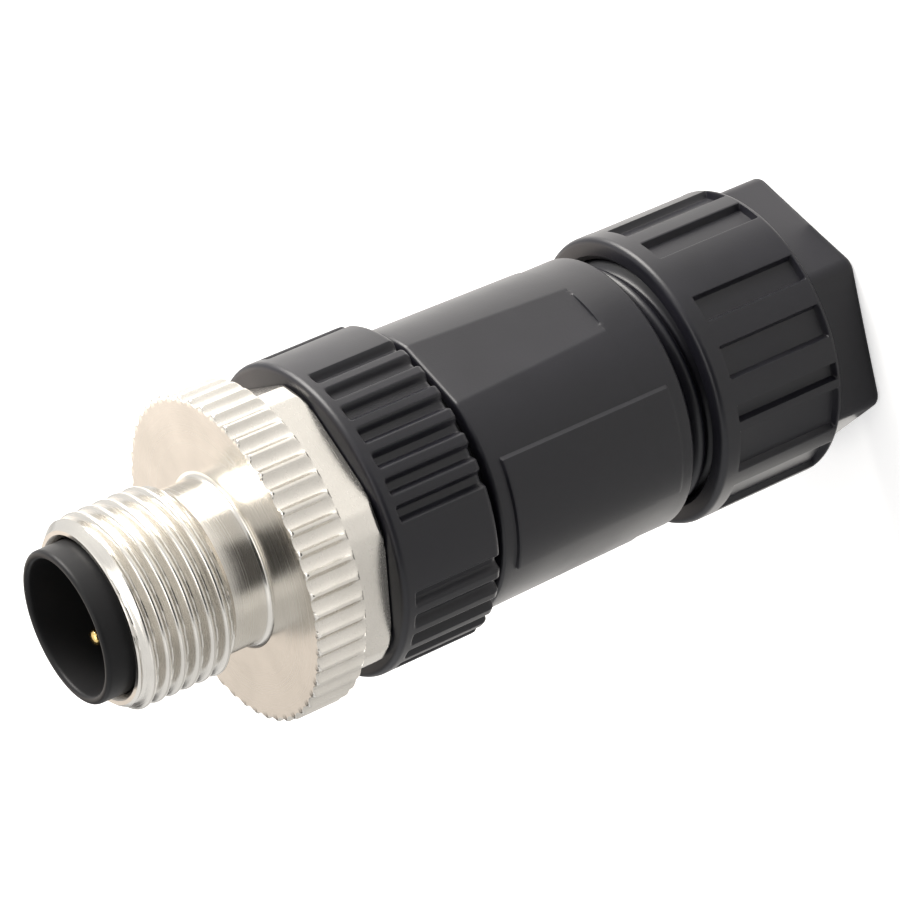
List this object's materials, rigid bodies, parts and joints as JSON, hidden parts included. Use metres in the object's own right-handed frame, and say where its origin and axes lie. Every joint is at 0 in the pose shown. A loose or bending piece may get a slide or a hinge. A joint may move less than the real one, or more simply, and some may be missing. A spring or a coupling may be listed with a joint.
{
  "type": "circular cable connector",
  "caption": "Straight circular cable connector: pins in a shroud, knurled metal coupling screw, ribbed black collar, black housing and hexagonal gland nut.",
  "frame": {"origin": "centre of the gland nut's flat rear face, on which the connector stands", "axes": "+Z along the connector's axis from the cable end to the pins; -Y towards the coding key inside the shroud"},
  "size_m": [0.0204, 0.0204, 0.053],
  "materials": {
    "nickel_plate": "bright nickel plate on turned brass",
    "black_plastic": "fine matt moulded",
    "insert_plastic": "satin moulded",
    "inner_plastic": "matt moulded",
    "black_rubber": "soft matt",
    "gold_plate": "thin gold plate on turned brass",
    "steel": "zinc-bright"
  },
  "bodies": {
    "gland_nut": {"gland_nut": "black_plastic"},
    "slip_washer": {"slip_washer": "steel"},
    "housing": {"housing": "black_plastic"},
    "cable_clamp": {"clamp_cage": "inner_plastic", "cable_seal": "black_rubber"},
    "contact_carrier": {"collar": "black_plastic", "insert_seal": "black_rubber", "housing_seal": "black_rubber", "retaining_ring": "steel", "contact_insert": "insert_plastic", "terminal_block": "inner_plastic", "contact_pin_1": "gold_plate", "contact_pin_2": "gold_plate", "contact_pin_3": "gold_plate", "contact_pin_4": "gold_plate"},
    "coupling_screw": {"coupling_screw": "nickel_plate"},
    "terminal_screw_1": {"terminal_screw_1": "steel"},
    "terminal_screw_2": {"terminal_screw_2": "steel"},
    "terminal_screw_3": {"terminal_screw_3": "steel"},
    "terminal_screw_4": {"terminal_screw_4": "steel"}
  },
  "joints": [
    {"name": "gland_turn", "type": "hinge", "parent": "gland_nut", "child": "slip_washer", "pos_m": [0, 0, 0.002], "axis": [0, 0, 1], "range_deg": [0, 1800]},
    {"name": "gland_travel", "type": "slide", "parent": "slip_washer", "child": "housing", "axis": [0, 0, 1], "range_m": [0, 0.0075]},
    {"name": "housing_turn", "type": "hinge", "parent": "housing", "child": "cable_clamp", "pos_m": [0, 0, 0.009], "axis": [0, 0, 1], "range_deg": [0, 1620]},
    {"name": "housing_travel", "type": "slide", "parent": "cable_clamp", "child": "contact_carrier", "axis": [0, 0, 1], "range_m": [0, 0.0045]},
    {"name": "coupling_spin", "type": "hinge", "parent": "contact_carrier", "child": "coupling_screw", "pos_m": [0, 0, 0.0406], "axis": [0, 0, 1], "continuous": true},
    {"name": "terminal_screw_1_turn", "type": "hinge", "parent": "contact_carrier", "child": "terminal_screw_1", "pos_m": [0.00318, -0.00318, 0.02055], "axis": [0.7071, -0.7071, 0], "range_deg": [0, 720]},
    {"name": "terminal_screw_2_turn", "type": "hinge", "parent": "contact_carrier", "child": "terminal_screw_2", "pos_m": [0.00318, 0.00318, 0.02055], "axis": [0.7071, 0.7071, 0], "range_deg": [0, 720]},
    {"name": "terminal_screw_3_turn", "type": "hinge", "parent": "contact_carrier", "child": "terminal_screw_3", "pos_m": [-0.00318, 0.00318, 0.02055], "axis": [-0.7071, 0.7071, 0], "range_deg": [0, 720]},
    {"name": "terminal_screw_4_turn", "type": "hinge", "parent": "contact_carrier", "child": "terminal_screw_4", "pos_m": [-0.00318, -0.00318, 0.02055], "axis": [-0.7071, -0.7071, 0], "range_deg": [0, 720]}
  ],
  "couplings": [
    {"joint": "gland_turn", "follows": "gland_travel", "rad_per_m": 4188.8},
    {"joint": "housing_turn", "follows": "housing_travel", "rad_per_m": 6283.2}
  ]
}
